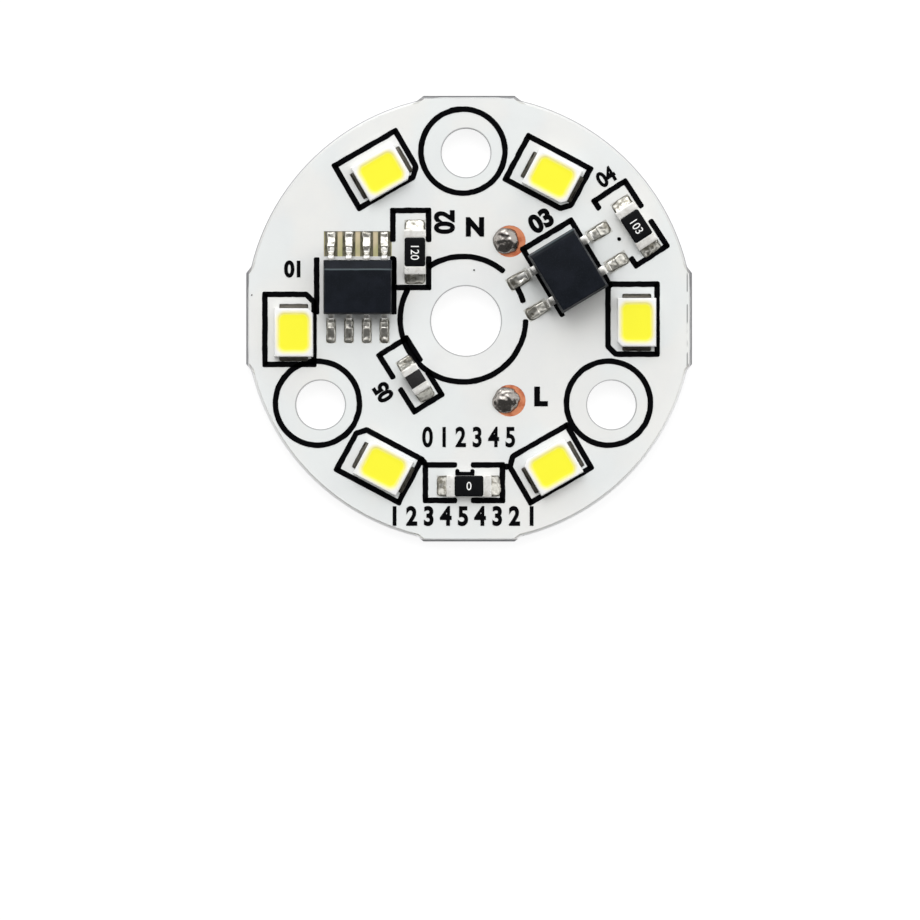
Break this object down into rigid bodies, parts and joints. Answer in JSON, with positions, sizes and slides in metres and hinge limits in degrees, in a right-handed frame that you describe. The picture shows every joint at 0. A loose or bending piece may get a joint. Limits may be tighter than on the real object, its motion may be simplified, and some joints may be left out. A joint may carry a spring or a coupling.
{
  "type": "led module",
  "caption": "Round aluminium-backed LED light board: a ring of LED packages, a driver chip, a bridge rectifier, small chip parts and two solder pads for mains wires.",
  "frame": {"origin": "axis of the centre hole at the plate's underside", "axes": "+Z out of the lit face, +Y towards one of the three screw holes, +X towards the LED at the right"},
  "size_m": [0.0318, 0.0319, 0.0036],
  "materials": {
    "plate": "rolled sheet with punched edges",
    "dielectric": "filled epoxy layer",
    "copper": "bare copper foil",
    "mask": "white solder mask, half gloss",
    "ink": "screen printed ink",
    "led_lead": "silver-plated copper",
    "led_cup": "white moulding",
    "led_die": "polished chip",
    "phosphor": "phosphor in silicone",
    "tinned_lead": "matt tin",
    "lead_frame": "stamped copper alloy",
    "silicon": "sawn chip",
    "moulding": "black moulding compound",
    "alumina": "white fired ceramic",
    "end_cap": "tin plated",
    "coat": "black glaze",
    "layered_ceramic": "fired brown ceramic",
    "solder": "bright reflowed solder"
  },
  "bodies": {
    "root": {"base_plate": "plate", "bleed_resistor_caps": "end_cap", "bleed_resistor_coat": "coat", "bleed_resistor_core": "alumina", "bridge_body": "moulding", "bridge_clips": "lead_frame", "bridge_dies": "silicon", "bridge_leads": "tinned_lead", "bridge_solder": "solder", "capacitor_caps": "end_cap", "capacitor_core": "layered_ceramic", "capacitor_solder": "solder", "copper_tracks": "copper", "dielectric_layer": "dielectric", "driver_body": "moulding", "driver_die": "silicon", "driver_leads": "tinned_lead", "driver_paddle": "lead_frame", "driver_solder": "solder", "led_1_dies": "led_die", "led_1_housing": "led_cup", "led_1_leads": "led_lead", "led_1_phosphor": "phosphor", "led_2_dies": "led_die", "led_2_housing": "led_cup", "led_2_leads": "led_lead", "led_2_phosphor": "phosphor", "led_3_dies": "led_die", "led_3_housing": "led_cup", "led_3_leads": "led_lead", "led_3_phosphor": "phosphor", "led_4_dies": "led_die", "led_4_housing": "led_cup", "led_4_leads": "led_lead", "led_4_phosphor": "phosphor", "led_5_dies": "led_die", "led_5_housing": "led_cup", "led_5_leads": "led_lead", "led_5_phosphor": "phosphor", "led_6_dies": "led_die", "led_6_housing": "led_cup", "led_6_leads": "led_lead", "led_6_phosphor": "phosphor", "led_solder": "solder", "legend_print": "ink", "link_resistor_caps": "end_cap", "link_resistor_coat": "coat", "link_resistor_core": "alumina", "live_solder": "solder", "neutral_solder": "solder", "resistor_solder": "solder", "sense_resistor_caps": "end_cap", "sense_resistor_coat": "coat", "sense_resistor_core": "alumina", "solder_mask": "mask"}
  },
  "joints": []
}
